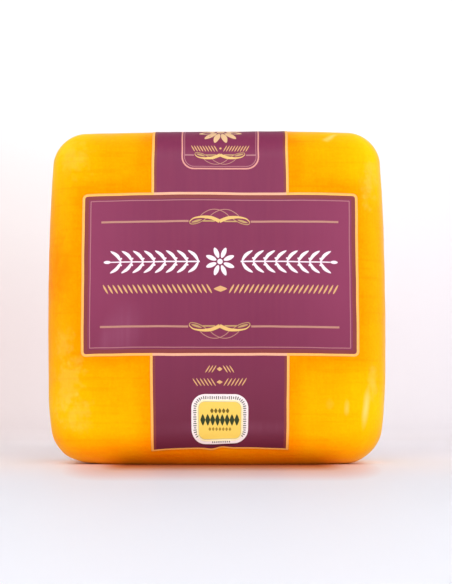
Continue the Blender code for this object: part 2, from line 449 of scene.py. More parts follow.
def tone_with_painted_light(point, height):
    """Tone of the rind at a point of the block, painted sheen and painted shade included: 0 is deep orange
    and 1 is bright yellow.
    """
    across = point.x / HALF_WIDTH
    up = point.z / HALF_HEIGHT
    edge = PAINTED_RIGHT_SHEEN if across > 0 else PAINTED_LEFT_SHEEN
    # Painted sheen toward the corners and at the sides, most on the right
    tone = TONE_MIDDLE + PAINTED_CORNER_SHEEN * abs(across) ** 5 * up ** 2 + edge * abs(across) ** 8
    tone += TONE_LOW * ease(-up, *LOW_TONE_RANGE) - TONE_HIGH * ease(up, *HIGH_TONE_RANGE)
    tone -= TONE_LABEL * (1 - ease(beside_label(point), 0, TONE_LABEL_REACH))
    # Painted sheen on the upper rims
    tone += PAINTED_RIM_SHEEN * round_edge(point, *RIM_SHEEN_TURN) * ease(up, *RIM_SHEEN_RANGE)
    # Painted shade at the lower corners and at the foot
    tone -= PAINTED_HEEL_SHADE * across ** 6 * ease(height, *HEEL_SHADE_HEIGHT)
    return max(tone, TONE_LEAST) - PAINTED_FOOT_SHADE * ease(height, *FOOT_SHADE_HEIGHT)


def rim_wear_and_sheen(point):
    """How pale the rind is along the edges of its faces, rubbed and with a painted sheen, most on the right
    and the top.
    """
    across = point.x / HALF_WIDTH
    up = point.z / HALF_HEIGHT
    rim = round_edge(point, *PALE_TURN) * (1 - PALE_FADE * ease(FLAT_Y - abs(point.y), 0, PALE_REACH))
    return rim * (PALE_SIDES + PALE_RIGHT * ease(across, *PALE_RIGHT_RANGE) + PALE_TOP * max(up, 0))


tones = cheese.data.attributes.new("tone", "FLOAT", "POINT")
wear_and_sheen = cheese.data.attributes.new("wear_and_sheen", "FLOAT", "POINT")
for index, (point, vert) in enumerate(zip(block_places, cheese.data.vertices)):
    tones.data[index].value = tone_with_painted_light(point, vert.co.z)
    wear_and_sheen.data[index].value = rim_wear_and_sheen(point)

# Rind dyed with annatto and rubbed with oil: a soft satin yellow with no white shine on it, mottled
# where the dye took unevenly, with the fine threads of the cloth pressed into it. The threads are
# about 1.3 mm apart, with a longer seam here and there, and the dye lies a little deeper in them.
# Ends of the tone: the dye's deep orange and bright yellow, which also carry the tone's painted shade and
# sheen
DEEP_DYE_AND_SHADE = "FF8600"
BRIGHT_DYE_AND_SHEEN = "FFC806"
OIL_SHINE = "FFC000"
GLINT_AND_RUB_COLOUR = "FFD070"
PALE = "FFC878"
THREAD = 0.0013
THREAD_RUN = 0.013
SEAM = 0.0024
SEAM_RUN = 0.045
SEAM_SHARE = (0.64, 0.72)
MOTTLE = 0.014
SPECKLE = 0.0013
GRAIN_RANGE = (0.3, 0.7)
RIND_GLOSS = (0.42, 0.58)
SPOT_DEPTH = (-0.04, 0.06)
SPOT_REACH = 0.6
SPOT_TEAR = 0.0045

# Pale spots: painted glints and soft painted highlights on the lower left, the lower right and the top
# right, and pale rubs where the dye is thin. Each gives place across and up, width and height, turn,
# strength, and how ragged it is
GLINTS_AND_RUBS = (
    # Soft painted highlights on the lower left
    ((-0.0810, 0.0440), (0.018, 0.036), 12, 0.13, 1.4),
    ((-0.0765, 0.0270), (0.018, 0.020), -25, 0.13, 1.4),
    # Painted glints on the lower right
    ((0.0810, 0.0314), (0.0044, 0.0235), 8, 0.85, 0.15),
    ((0.0850, 0.0450), (0.0060, 0.022), -4, 0.25, 0.8),
    ((0.0704, 0.0308), (0.0032, 0.0085), 4, 0.36, 0.4),
    ((0.0612, 0.0325), (0.0050, 0.006), 0, 0.09, 0.9),
    # Painted glints on the top right edge
    ((0.0645, 0.1824), (0.0080, 0.0028), -24, 0.90, 0.5),
    ((0.0626, 0.1809), (0.0085, 0.0034), -24, 0.75, 0.6),
    # Pale rubs, where the dye is thin
    ((-0.0840, 0.0650), (0.012, 0.022), 5, 0.12, 1.2),
    ((-0.0800, 0.1700), (0.018, 0.026), -20, 0.12, 1.2),
    ((0.0850, 0.1560), (0.010, 0.030), 8, 0.22, 1.2),
)

# A patch of painted shade on the left, given in the same way: deeper orange
PAINTED_SHADE_PATCH = ((-0.0870, 0.1060), (0.026, 0.044), 0, 0.8, 0.6)


def add_grain(tree, place, spacing, detail):
    """An irregular pattern with its own spacing along each axis, or one spacing for all."""
    if isinstance(spacing, float):
        spacing = (spacing, spacing, spacing)
    scale = [1 / length for length in spacing]
    stretched = add_node(tree, "ShaderNodeMapping", {"Scale": scale, "Vector": place}, 0)
    return add_node(tree, "ShaderNodeTexNoise", {"Scale": 1.0, "Detail": detail, "Vector": stretched}, "Fac")


def add_spot(tree, place, middle, size, turn, strength, ragged=0.0):
    """A soft oval spot on the front, strongest in its middle, turned by degrees, with a ragged edge."""
    face, depth = SPOT_DEPTH
    over = add_node(
        tree, "ShaderNodeMapping",
        {"vector_type": "TEXTURE", "Location": (middle[0], face, middle[1]),
         "Rotation": (0, math.radians(turn), 0), "Scale": (size[0], depth, size[1]), "Vector": place}, 0,
    )
    span = add_node(tree, "ShaderNodeVectorMath", {"operation": "LENGTH", 0: over}, "Value")
    tear = add_grain(tree, place, SPOT_TEAR, 2.0)
    tear = add_node(
        tree, "ShaderNodeMath", {"operation": "MULTIPLY_ADD", 0: tear, 1: ragged, 2: -ragged / 2}, 0,
    )
    span = add_node(tree, "ShaderNodeMath", {"operation": "ADD", 0: span, 1: tear}, 0)
    return add_node(
        tree, "ShaderNodeMapRange",
        {"interpolation_type": "SMOOTHSTEP", "From Max": SPOT_REACH, "To Min": strength, "To Max": 0.0,
         "Value": span}, 0,
    )


def vary_gloss(tree, shader, pattern, smooth, dull):
    """Let the roughness run between two values as a grain pattern rises."""
    low, high = GRAIN_RANGE
    gloss = add_node(
        tree, "ShaderNodeMapRange",
        {"From Min": low, "From Max": high, "To Min": smooth, "To Max": dull, "Value": pattern}, 0,
    )
    tree.links.new(gloss, shader.inputs["Roughness"])


def raise_bumps(tree, shader, bumps):
    """Bumps laid one on another: strength, depth and the pattern that gives the height of each."""
    beneath = {}
    for strength, depth, pattern in bumps:
        settings = {"Strength": strength, "Distance": depth, "Height": pattern, **beneath}
        beneath = {"Normal": add_node(tree, "ShaderNodeBump", settings, "Normal")}
    tree.links.new(beneath["Normal"], shader.inputs["Normal"])


rind, tree, shader, place = new_material("oiled annatto rind", 0.45, ior=1.46, specular=0.16)
shader.inputs["Specular Tint"].default_value = linear(OIL_SHINE)
threads = []
for run in range(3):
    spacing = [THREAD] * 3
    spacing[run] = THREAD_RUN
    threads.append(add_grain(tree, place, spacing, 1.0))
seams = add_node(
    tree, "ShaderNodeMapRange",
    {"From Min": SEAM_SHARE[0], "From Max": SEAM_SHARE[1],
     "Value": add_grain(tree, place, (SEAM_RUN, SEAM_RUN, SEAM), 0.0)}, 0,
)
mottle = add_grain(tree, place, MOTTLE, 3.0)
speckle = add_grain(tree, place, SPECKLE, 2.0)
tone = add_node(tree, "ShaderNodeAttribute", {"attribute_name": "tone"}, "Fac")
for amount, pattern in (
    (0.12, threads[0]), (0.10, threads[2]), (0.26, mottle), (0.25, speckle), (-0.07, seams),
):
    part = add_node(
        tree, "ShaderNodeMath",
        {"operation": "MULTIPLY_ADD", 0: pattern, 1: amount, 2: -max(amount, 0) / 2}, 0,
    )
    tone = add_node(tree, "ShaderNodeMath", {"operation": "ADD", 0: tone, 1: part}, 0)
# Pale edges, rubbed and brightened by a painted sheen
wear_and_sheen_share = add_node(tree, "ShaderNodeAttribute", {"attribute_name": "wear_and_sheen"}, "Fac")
# Base colour: the tone with its painted sheen and shade, the pale edges with their painted sheen, the
# painted glints and pale rubs, and the patch of painted shade
rind_layers = [(tone, BRIGHT_DYE_AND_SHEEN), (wear_and_sheen_share, PALE)]
for pale_spot in GLINTS_AND_RUBS:
    rind_layers.append((add_spot(tree, place, *pale_spot), GLINT_AND_RUB_COLOUR))
rind_layers.append((add_spot(tree, place, *PAINTED_SHADE_PATCH), DEEP_DYE_AND_SHADE))
tree.links.new(lay_colours(tree, DEEP_DYE_AND_SHADE, rind_layers), shader.inputs["Base Color"])
vary_gloss(tree, shader, mottle, *RIND_GLOSS)
raise_bumps(tree, shader, (
    (0.35, 0.0008, mottle), (0.25, 0.00035, threads[0]), (0.22, 0.00035, threads[2]),
    (0.22, 0.00035, threads[1]), (0.25, 0.0002, speckle),
))
cheese.data.materials.append(rind)


# The label.
# One sheet of coated paper, cut as a cross: a wide panel lies on the face, and a band runs down to the
# lower edge and up over the top edge. It is stuck down all over.
PAPER_LOW = 0.00002
PAPER_HIGH = 0.00020
PANEL_CORNER = 0.0028
BAND_END_BOW = 0.00125
BAND_END_WAVE = 0.0017
BAND_END_WAVE_MIDDLE = -0.0015
BAND_END_WAVE_LENGTH = 0.0045
BAND_END_SLANT = 0.0003
TOP_SPREAD = 0.0072
RIM_SPREAD = 0.020
RIM_SPREAD_RANGE = (0.078, 0.095)
TOP_SHIFT = 0.00012
PANEL_DROOP = 0.0006
LEFT_DROOP = 0.0007
LEFT_DROOP_RANGE = (0.020, -0.030)
SHEET_STEP = 0.0016
CREASE = math.radians(40)
CLOSE = 1e-6


def on_cheese(across, up, height):
    """Point at a height above the cheese, reached over the front face and round its edges."""
    turn_x = clamp((abs(across) - FLAT_X) / EDGE_RADIUS, 0, QUARTER_TURN)
    turn_z = clamp((abs(up) - FLAT_Z) / EDGE_RADIUS, 0, QUARTER_TURN)
    past_edge = max(abs(up) - FLAT_Z - EDGE_RADIUS * QUARTER_TURN, 0)
    core = Vector((clamp(across, -FLAT_X, FLAT_X), past_edge - FLAT_Y, clamp(up, -FLAT_Z, FLAT_Z)))
    direction = Vector((
        math.copysign(math.sin(turn_x), across),
        -math.cos(turn_x) * math.cos(turn_z),
        math.copysign(math.sin(turn_z), up),
    ))
    return settle(core + direction.normalized() * (EDGE_RADIUS + height)) + to_frame


def even_places(start, end, longest_step):
    """Places strictly between start and end, evenly spaced no further apart than the longest step."""
    steps = max(1, math.ceil((end - start) / longest_step - CLOSE))
    return [start + (end - start) * step / steps for step in range(1, steps)]


def add_flat_rectangle(name, left, right, bottom, top):
    """A flat sheet as a new object in edit mode, with X across and Y up."""
    deselect_all()
    bpy.ops.mesh.primitive_plane_add(size=1, location=(0, 0, 0))
    sheet = bpy.context.object
    sheet.name = name
    for vert in sheet.data.vertices:
        vert.co = Vector((right if vert.co.x > 0 else left, top if vert.co.y > 0 else bottom, 0))
    bpy.ops.object.mode_set(mode="EDIT")
    return sheet


def select_where(sheet, kind, test):
    """Select the vertices or edges whose middle passes a test, in edit mode."""
    bpy.ops.mesh.select_mode(type="VERT" if kind == "verts" else "EDGE")
    bpy.ops.mesh.select_all(action="DESELECT")
    mesh = bmesh.from_edit_mesh(sheet.data)
    for element in getattr(mesh, kind):
        middle = element.co if kind == "verts" else (element.verts[0].co + element.verts[1].co) / 2
        if test(middle):
            element.select_set(True)
    bmesh.update_edit_mesh(sheet.data)


def round_corners(sheet, test, radius, segments):
    select_where(sheet, "verts", test)
    bpy.ops.mesh.bevel(offset=radius, segments=segments, profile=0.5, affect="VERTICES")


def extrude_edges(sheet, test, along):
    """Draw the edges that pass a test out along a direction."""
    select_where(sheet, "edges", test)
    bpy.ops.mesh.extrude_region_move(TRANSFORM_OT_translate={"value": along})


def cut_evenly(axis, start, end, step=SHEET_STEP):
    """Cut the sheet that is in edit mode across one axis, evenly from start to end."""
    normal = [0, 0, 0]
    normal[axis] = 1
    for place in even_places(start, end, step):
        bpy.ops.mesh.select_all(action="SELECT")
        bpy.ops.mesh.bisect(plane_co=[place * part for part in normal], plane_no=normal)


def spread(across, up):
    """Where the label really lies: a little wider toward the top, and drooping at the ends of the panel."""
    high = clamp(up / PANEL_TOP, 0, 1)
    side = across / PANEL_HALF_WIDTH
    wider = 1 + TOP_SPREAD * high ** 1.5 + RIM_SPREAD * ease(up, *RIM_SPREAD_RANGE)
    droop = PANEL_DROOP * abs(side) ** 3 + LEFT_DROOP * max(-side, 0) ** 3 * ease(up, *LEFT_DROOP_RANGE)
    return across * wider + TOP_SHIFT * high, up - droop


def lay_sheet(sheet, shift, low, high):
    """Lay a flat sheet on the cheese, each point at its own height, and give it its thickness."""
    bpy.context.view_layer.objects.active = sheet
    bpy.ops.object.mode_set(mode="EDIT")
    bpy.ops.mesh.select_mode(type="FACE")
    mesh = bmesh.from_edit_mesh(sheet.data)
    for face in mesh.faces:
        face.normal_update()
        face.select_set(face.normal.z < 0)
    bmesh.update_edit_mesh(sheet.data)
    bpy.ops.mesh.flip_normals()
    bpy.ops.object.mode_set(mode="OBJECT")
    for vert in sheet.data.vertices:
        across, up = spread(vert.co.x, vert.co.y)
        vert.co = on_cheese(across + shift, up, low + vert.co.z)
    wall = sheet.modifiers.new("thickness", "SOLIDIFY")
    wall.thickness = high - low
    wall.offset = 1
    bpy.ops.object.modifier_apply(modifier=wall.name)
    deselect_all()
    sheet.select_set(True)
    bpy.ops.object.shade_smooth_by_angle(angle=CREASE)


def bow_band_end(pieces):
    """Draw pieces of the band up toward its lower end, which bows and waves."""
    for piece in pieces:
        for vert in piece.data.vertices:
            across, up, _ = vert.co
            toward_end = clamp((PANEL_BOTTOM - up) / (PANEL_BOTTOM - BAND_BOTTOM), 0, 1)
            bow = BAND_END_BOW * (1 - (across / BAND_HALF_WIDTH) ** 2)
            ripple = (across - BAND_END_WAVE_MIDDLE) / BAND_END_WAVE_LENGTH
            wave = BAND_END_WAVE * ripple * math.exp(-ripple ** 2)
            slant = BAND_END_SLANT * across / BAND_HALF_WIDTH
            vert.co.y += (bow + slant) * toward_end ** 2 + wave * toward_end ** 16


label = add_flat_rectangle("label_sheet", -BAND_HALF_WIDTH, BAND_HALF_WIDTH, PANEL_BOTTOM, PANEL_TOP)
wing = PANEL_HALF_WIDTH - BAND_HALF_WIDTH
extrude_edges(label, lambda place: place.x < -BAND_HALF_WIDTH + CLOSE, (-wing, 0, 0))
extrude_edges(label, lambda place: abs(place.x - BAND_HALF_WIDTH) < CLOSE, (wing, 0, 0))
for edge, end in ((PANEL_TOP, BAND_TOP), (PANEL_BOTTOM, BAND_BOTTOM)):
    extrude_edges(
        label, lambda place: abs(place.x) < CLOSE and abs(place.y - edge) < CLOSE, (0, end - edge, 0),
    )
round_corners(label, lambda place: abs(place.x) > PANEL_HALF_WIDTH - CLOSE, PANEL_CORNER, 6)
for axis, ends in (
    (1, (BAND_BOTTOM, PANEL_BOTTOM, PANEL_TOP, BAND_TOP)),
    (0, (-PANEL_HALF_WIDTH, -BAND_HALF_WIDTH, BAND_HALF_WIDTH, PANEL_HALF_WIDTH)),
):
    for start, end in zip(ends, ends[1:]):
        cut_evenly(axis, start, end)
bpy.ops.object.mode_set(mode="OBJECT")
bow_band_end([label])
lay_sheet(label, LABEL_SHIFT, PAPER_LOW, PAPER_HIGH)
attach(label, "root")
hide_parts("label")

# Coated label paper, printed purple all over: a smooth satin face, faintly streaked by the press, a little
# darker toward its foot as painted shade, lighter toward its ends as painted sheen, with painted reflections
# on the left and a band of painted highlight low down. It waves where the rind is uneven.
PURPLE = "7A2A4B"
PURPLE_STREAK = "76274A"
# Painted shade toward the foot of the label
PURPLE_FOOT_SHADE = "66223A"
# Painted sheen toward the label's left and right ends
PURPLE_SIDE_SHEEN = "863356"
SIDE_SHEEN_FADE = (0.030, 0.080)
FOOT_SHADE_FADE = (0.100, 0.010)
FOOT_SHADE_POWER = 1.5
# Painted sheen: soft pale reflections on the left of the panel, and a soft painted highlight across the band
# low down
SHEEN_SPOT_COLOUR = "A06080"
SHEEN_SPOTS = (
    ((-0.0510, 0.0720), (0.022, 0.036), 12, 0.38),
    ((-0.0600, 0.0680), (0.010, 0.030), 10, 0.26),
    ((0.0120, 0.0205), (0.090, 0.009), 0, 0.22),
)
STREAK_WIDTH = 0.0026
STREAK_LENGTH = 0.10
PAPER_GRAIN = 0.0007
PAPER_WAVE = 0.020
PAPER_GLOSS = (0.46, 0.56)

purple, tree, shader, place = new_material("coated paper printed purple", 0.5, specular=0.2)
axes = add_node(tree, "ShaderNodeSeparateXYZ", {0: place})
beside = add_node(tree, "ShaderNodeMath", {"operation": "ABSOLUTE", 0: axes.outputs["X"]}, 0)
streaks = add_grain(tree, place, (STREAK_WIDTH, STREAK_WIDTH, STREAK_LENGTH), 3.0)
streaked, side_sheen, foot = (
    add_node(tree, "ShaderNodeMapRange", {"From Min": start, "From Max": end, "Value": value}, 0)
    for value, (start, end) in ((streaks, GRAIN_RANGE), (beside, SIDE_SHEEN_FADE), (axes.outputs["Z"], FOOT_SHADE_FADE))
)
# Painted shade toward the foot of the label
foot = add_node(tree, "ShaderNodeMath", {"operation": "POWER", 0: foot, 1: FOOT_SHADE_POWER}, 0)
printed = [(streaked, PURPLE_STREAK), (side_sheen, PURPLE_SIDE_SHEEN), (foot, PURPLE_FOOT_SHADE)]
for sheen_spot in SHEEN_SPOTS:
    spot = add_spot(tree, place, *sheen_spot)
    spot = add_node(tree, "ShaderNodeMath", {"operation": "MULTIPLY", 0: spot, 1: streaks}, 0)
    printed.append((spot, SHEEN_SPOT_COLOUR))
tree.links.new(lay_colours(tree, PURPLE, printed), shader.inputs["Base Color"])
grain = add_grain(tree, place, PAPER_GRAIN, 2.0)
vary_gloss(tree, shader, grain, *PAPER_GLOSS)
raise_bumps(tree, shader, ((0.4, 0.0015, add_grain(tree, place, PAPER_WAVE, 2.0)), (0.08, 0.0002, grain)))
label.data.materials.append(purple)


# The edging and the thin lines of the label.
# Gold ink runs along every edge of the sheet, with a red brown fringe inside it, and a hairline and four
# rules are printed further in. Each ink is a thin film that follows the paper.
INK_LOW = 0.00017
INK_HIGH = 0.00024
OVERPRINT = 0.00002
EDGING = 0.00135
BAND_END_EDGING = 0.0008
TRIM = 0.00004
HAIRLINE = 0.0005
HAIRLINE_HALF_WIDTH = 0.0704
HAIRLINE_TOP = 0.0512
HAIRLINE_BOTTOM = -0.0295
HAIRLINE_CORNER = 0.0003
FRINGE = 0.0021
FRINGE_CORNER = 0.0024
BAND_FRINGE = 0.0014
PRINT_MIDDLE = -0.0001
RULE = 0.0011
RULE_NEAR = 0.0168
RULE_FAR = 0.0643
UPPER_RULE = 0.0391
LOWER_RULE = -0.0181
STROKE_STEP = 0.0006
STROKE_AHEAD = 0.01
POINT_WIDTH = 0.00008
INK_MOTTLE = 0.0012


def curve_point(points, share):
    """Point at a share of the way along a smooth curve through the points."""
    last = len(points) - 1
    place = clamp(share, 0, 1) * last
    index = min(int(place), last - 1)
    part = place - index
    before = points[max(index - 1, 0)]
    start = points[index]
    end = points[index + 1]
    after = points[min(index + 2, last)]
    return 0.5 * (
        2 * start + (end - before) * part
        + (2 * before - 5 * start + 4 * end - after) * part ** 2
        + (3 * start - before - 3 * end + after) * part ** 3
    )


def even_width(width):
    return lambda share: width


def leaf_width(width):
    return lambda share: POINT_WIDTH + width * max(math.sin(math.pi * share), 0) ** 0.8


def lozenge_width(width):
    return lambda share: POINT_WIDTH + width * (1 - abs(2 * share - 1))


def taper_width(widths):
    """Width that runs evenly from each value to the next."""
    def width_at(share):
        place = clamp(share, 0, 1) * (len(widths) - 1)
        index = min(int(place), len(widths) - 2)
        return widths[index] + (widths[index + 1] - widths[index]) * (place - index)
    return width_at


def draw_stroke(points, width, height=0.0):
    """Draw a pen stroke as a flat strip; width is a function of the share of the way along it."""
    points = [Vector((across, up, 0)) for across, up in points]
    length = sum((end - start).length for start, end in zip(points, points[1:]))
    steps = max(4, 2 * math.ceil(length / STROKE_STEP / 2))
    deselect_all()
    bpy.ops.mesh.primitive_grid_add(x_subdivisions=steps, y_subdivisions=1, size=2, location=(0, 0, 0))
    stroke = bpy.context.object
    for vert in stroke.data.vertices:
        share = (vert.co.x + 1) / 2
        ahead = curve_point(points, share + STROKE_AHEAD) - curve_point(points, share - STROKE_AHEAD)
        aside = Vector((-ahead.y, ahead.x, 0)).normalized()
        vert.co = curve_point(points, share) + aside * width(share) * vert.co.y / 2
        vert.co.z = height
    return stroke


def draw_bar(left, right, up, width, height=0.0):
    return draw_stroke([(left, up), (right, up)], even_width(width), height)


def draw_ring(left, right, bottom, top, corner, width, segments, height=0.0):
    """Draw a line of even width round a rectangle with rounded corners."""
    ring = add_flat_rectangle("ring", left, right, bottom, top)
    round_corners(ring, lambda place: True, corner, segments)
    bpy.ops.mesh.select_all(action="SELECT")
    bpy.ops.mesh.inset(thickness=width, depth=0)
    bpy.ops.mesh.delete(type="FACE")
    cut_evenly(0, left, right)
    cut_evenly(1, bottom, top)
    bpy.ops.object.mode_set(mode="OBJECT")
    for vert in ring.data.vertices:
        vert.co.z = height
    return ring


def join_pieces(name, pieces):
    """Join flat pieces into one object."""
    deselect_all()
    for piece in pieces:
        piece.select_set(True)
    bpy.context.view_layer.objects.active = pieces[0]
    bpy.ops.object.join()
    pieces[0].name = name
    return pieces[0]


def print_ink(name, strokes, ink, shift=LABEL_SHIFT, low=INK_LOW, high=INK_HIGH):
    """Join the strokes of one ink and lay them on the paper as one thin film."""
    film = join_pieces(name, strokes)
    lay_sheet(film, shift, low, high)
    film.data.materials.append(ink)
    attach(film, "root")


def new_ink(name, colour, pale_colour, roughness=0.45):
    """A printed ink, a little uneven because the paper takes it up unevenly."""
    ink, tree, shader, place = new_material(name, roughness, specular=0.25)
    taken_up = add_node(
        tree, "ShaderNodeTexNoise", {"Scale": 1 / INK_MOTTLE, "Detail": 3.0, "Vector": place}, "Fac",
    )
    tree.links.new(lay_colours(tree, colour, [(taken_up, pale_colour)]), shader.inputs["Base Color"])
    return ink


# Opaque label inks, satin as they dried: gold for the edging, and rose gold where gold lies on purple
gold_ink = new_ink("satin gold ink", "F2AA4E", "F8B65E")
peach_ink = new_ink("gold ink over purple", "E2A283", "EAB092")
rose_ink = new_ink("rose gold ink", "AC786A", "B68072")
hairline_ink = new_ink("thin rose gold ink", "A2646E", "AA6C74")
fringe_ink = new_ink("red brown ink", "7A2F31", "803537")

panel_ring = draw_ring(
    -PANEL_HALF_WIDTH + TRIM, PANEL_HALF_WIDTH - TRIM, PANEL_BOTTOM + TRIM, PANEL_TOP - TRIM,
    PANEL_CORNER, EDGING, 6,
)
print_ink("panel_edging", [panel_ring], gold_ink)
crossings = [
    draw_bar(-BAND_HALF_WIDTH + EDGING, BAND_HALF_WIDTH - EDGING, up, EDGING, OVERPRINT)
    for up in (PANEL_TOP - EDGING / 2, PANEL_BOTTOM + EDGING / 2)
]
print_ink("edging_over_band", crossings, peach_ink)

band_lines = []
fringes = [draw_ring(
    -PANEL_HALF_WIDTH + EDGING + TRIM, PANEL_HALF_WIDTH - EDGING - TRIM, PANEL_BOTTOM + EDGING + TRIM,
    PANEL_TOP - EDGING - TRIM, FRINGE_CORNER, FRINGE, 6,
)]
for side in (-1, 1):
    across = side * (BAND_HALF_WIDTH - EDGING / 2 - TRIM)
    inside = side * (BAND_HALF_WIDTH - EDGING - BAND_FRINGE / 2 - TRIM)
    for start, end in ((PANEL_TOP, BAND_TOP), (PANEL_BOTTOM, BAND_BOTTOM)):
        band_lines.append(draw_stroke([(across, start), (across, end)], even_width(EDGING)))
        fringes.append(draw_stroke([(inside, start), (inside, end)], even_width(BAND_FRINGE)))
edge = BAND_HALF_WIDTH - TRIM
for up, width in (
    (BAND_TOP - EDGING / 2, EDGING), (BAND_BOTTOM + BAND_END_EDGING / 2 + TRIM, BAND_END_EDGING),
):
    band_lines.append(draw_bar(-edge, edge, up, width, OVERPRINT))
bow_band_end(band_lines + fringes[1:])
print_ink("band_edging", band_lines, gold_ink)
print_ink("fringe", fringes, fringe_ink)

hairline = draw_ring(
    -HAIRLINE_HALF_WIDTH, HAIRLINE_HALF_WIDTH, HAIRLINE_BOTTOM, HAIRLINE_TOP, HAIRLINE_CORNER, HAIRLINE, 1,
    OVERPRINT,
)
print_ink("hairline", [hairline], hairline_ink)

rules = []
for up in (UPPER_RULE, LOWER_RULE):
    for side in (-1, 1):
        ends = sorted((PRINT_MIDDLE + side * RULE_NEAR, PRINT_MIDDLE + side * RULE_FAR))
        rules.append(draw_bar(*ends, up, RULE))
print_ink("rules", rules, rose_ink)


# The flourishes.
# Two thick pen strokes meet in a point and end in thin loops, with two thin arcs behind them. One breaks
# each pair of rules, and a smaller one stands in the badge. Places and widths are in millimetres, and
# places are given from a flourish's middle.
FLOURISH_ARM = (
    (0.0, -0.2), (3.0, 1.2), (5.2, 1.85), (7.8, 2.1), (10.35, 2.1), (13.75, 1.5), (15.4, 0.45), (16.2, -0.5),
)
FLOURISH_ARM_WIDTHS = (1.9, 1.85, 1.75, 1.5, 1.1, 0.7, 0.5, 0.42)
FLOURISH_LOOP = (
    (16.2, -0.5), (16.0, -1.5), (15.0, -1.85), (13.6, -1.75), (11.75, -1.3), (9.77, -0.4), (8.07, 0.6),
    (6.9, 1.7),
)
FLOURISH_LOOP_WIDTHS = (0.42, 0.42, 0.42, 0.42, 0.4, 0.4, 0.35, 0.3)
FLOURISH_LEAF = ((15.2, -0.9), (12.5, -0.2), (9.6, 0.75))
FLOURISH_LEAF_WIDTH = 1.1
FLOURISH_UNDER = ((2.6, -0.15), (9.2, -0.15))
FLOURISH_UNDER_WIDTH = 0.75
FLOURISH_ARC = (
    (-4.96, 2.8), (-3.5, 4.2), (-1.6, 5.35), (0.6, 6.25), (2.98, 6.5), (5.4, 6.1), (7.4, 5.15), (9.1, 4.0),
    (10.35, 2.8),
)
FLOURISH_ARC_WIDTH = 0.4
ARM_HEIGHT = 0.00003
LOOP_HEIGHT = 0.00002
ARC_HEIGHTS = {-1: 0.0, 1: 0.00002}
BADGE_RULE = 0.0764
# Each flourish: its place up the label, its size, and how far it rises
FLOURISHES = ((UPPER_RULE + 0.0002, 1.0, 1), (LOWER_RULE + 0.0002, 1.0, -1), (BADGE_RULE, 0.845, -0.93))

# Bright gold ink for the pen strokes, and a darker gold where they run thin
bright_gold_ink = new_ink("bright gold ink", "D8AE66", "E0B872", 0.4)
old_gold_ink = new_ink("old gold ink", "B08A5A", "B89462")
flourish_arms = []
flourish_loops = []
flourish_arcs = []
for flourish_up, size, rise in FLOURISHES:
    scale = size / 1000
    arm_width = taper_width([scale * width for width in FLOURISH_ARM_WIDTHS])
    loop_width = taper_width([scale * width for width in FLOURISH_LOOP_WIDTHS])
    for side in (-1, 1):
        for strokes, points, width, height in (
            (flourish_arms, FLOURISH_ARM, arm_width, ARM_HEIGHT),
            (flourish_loops, FLOURISH_LOOP, loop_width, LOOP_HEIGHT),
            (flourish_loops, FLOURISH_LEAF, leaf_width(FLOURISH_LEAF_WIDTH * scale), 0.0),
            (flourish_loops, FLOURISH_UNDER, even_width(FLOURISH_UNDER_WIDTH * scale), 0.0),
            (flourish_arcs, FLOURISH_ARC, even_width(FLOURISH_ARC_WIDTH * scale), ARC_HEIGHTS[side]),
        ):
            placed = [
                (PRINT_MIDDLE + side * scale * x, flourish_up + rise * scale * y) for x, y in points
            ]
            strokes.append(draw_stroke(placed, width, height))
print_ink("flourish_arms", flourish_arms, bright_gold_ink)
print_ink("flourish_loops", flourish_loops, old_gold_ink)
print_ink("flourish_arcs", flourish_arcs, rose_ink)


# The printed ornament of the panel and the band.
# A white rosette between two laurel branches fills the middle of the panel, over a row of slanted gold
# leaves. Two short rows of the same kind stand on the band above the seal.
LAUREL_MIDDLE = (0.0004, 0.0170)
LAUREL_START = 0.0110
LAUREL_END = 0.0593
LAUREL_PAIRS = 8
LAUREL_LEAF = 0.0084
LAUREL_LEAF_WIDTH = 0.0017
LAUREL_LEAN = math.radians(46)
LAUREL_CURL = 0.10
LAUREL_TIP = 0.0040
LAUREL_STEM_WIDTHS = (0.00078, 0.0006)
BERRY = 0.0005
BERRY_OUT = 0.72
BERRY_UP = 0.0018
ROSETTE_PETALS = 8
ROSETTE_RADIUS = 0.0082
ROSETTE_INNER = 0.0021
ROSETTE_PETAL_WIDTH = 0.0024
ROSETTE_DOT = 0.0015
# Rows of slanted leaves: middle, first and last leaf, count on each side, lean in degrees, a leaf's length
# and width, and half the length and the width of the lozenge in the middle
GOLD_ROWS = (
    ((LAUREL_MIDDLE[0], 0.0022), (0.0060, 0.0620), 22, 60, (0.0056, 0.0009), (0.0036, 0.0032)),
    ((PRINT_MIDDLE, -0.0480), (0.0034, 0.0130), 6, 58, (0.0048, 0.00055), (0.0016, 0.0019)),
    ((PRINT_MIDDLE, -0.0410), (0.0030, 0.0064), 3, 122, (0.0046, 0.00055), (0.0014, 0.0022)),
)


def draw_dot(across, up, radius, height=0.0):
    deselect_all()
    bpy.ops.mesh.primitive_circle_add(vertices=14, radius=radius, fill_type="NGON", location=(0, 0, 0))
    dot = bpy.context.object
    for vert in dot.data.vertices:
        vert.co += Vector((across, up, height))
    return dot


def draw_leaf(across, up, lean, length, width, height=0.0, curl=0.0):
    """A leaf that grows from a point at an angle, curled a little to one side."""
    ahead = Vector((math.cos(lean), math.sin(lean)))
    aside = Vector((-ahead.y, ahead.x)) * curl * length
    root = Vector((across, up))
    tip = root + ahead * length
    return draw_stroke([root, (root + tip) / 2 + aside, tip], leaf_width(width), height)


def draw_rosette(across, up, petals, inner, outer, width):
    """Petals set round a middle."""
    strokes = []
    for petal in range(petals):
        turn = 2 * math.pi * (petal + 0.5) / petals
        root = (across + inner * math.cos(turn), up + inner * math.sin(turn))
        strokes.append(draw_leaf(*root, turn, outer - inner, width))
    return strokes


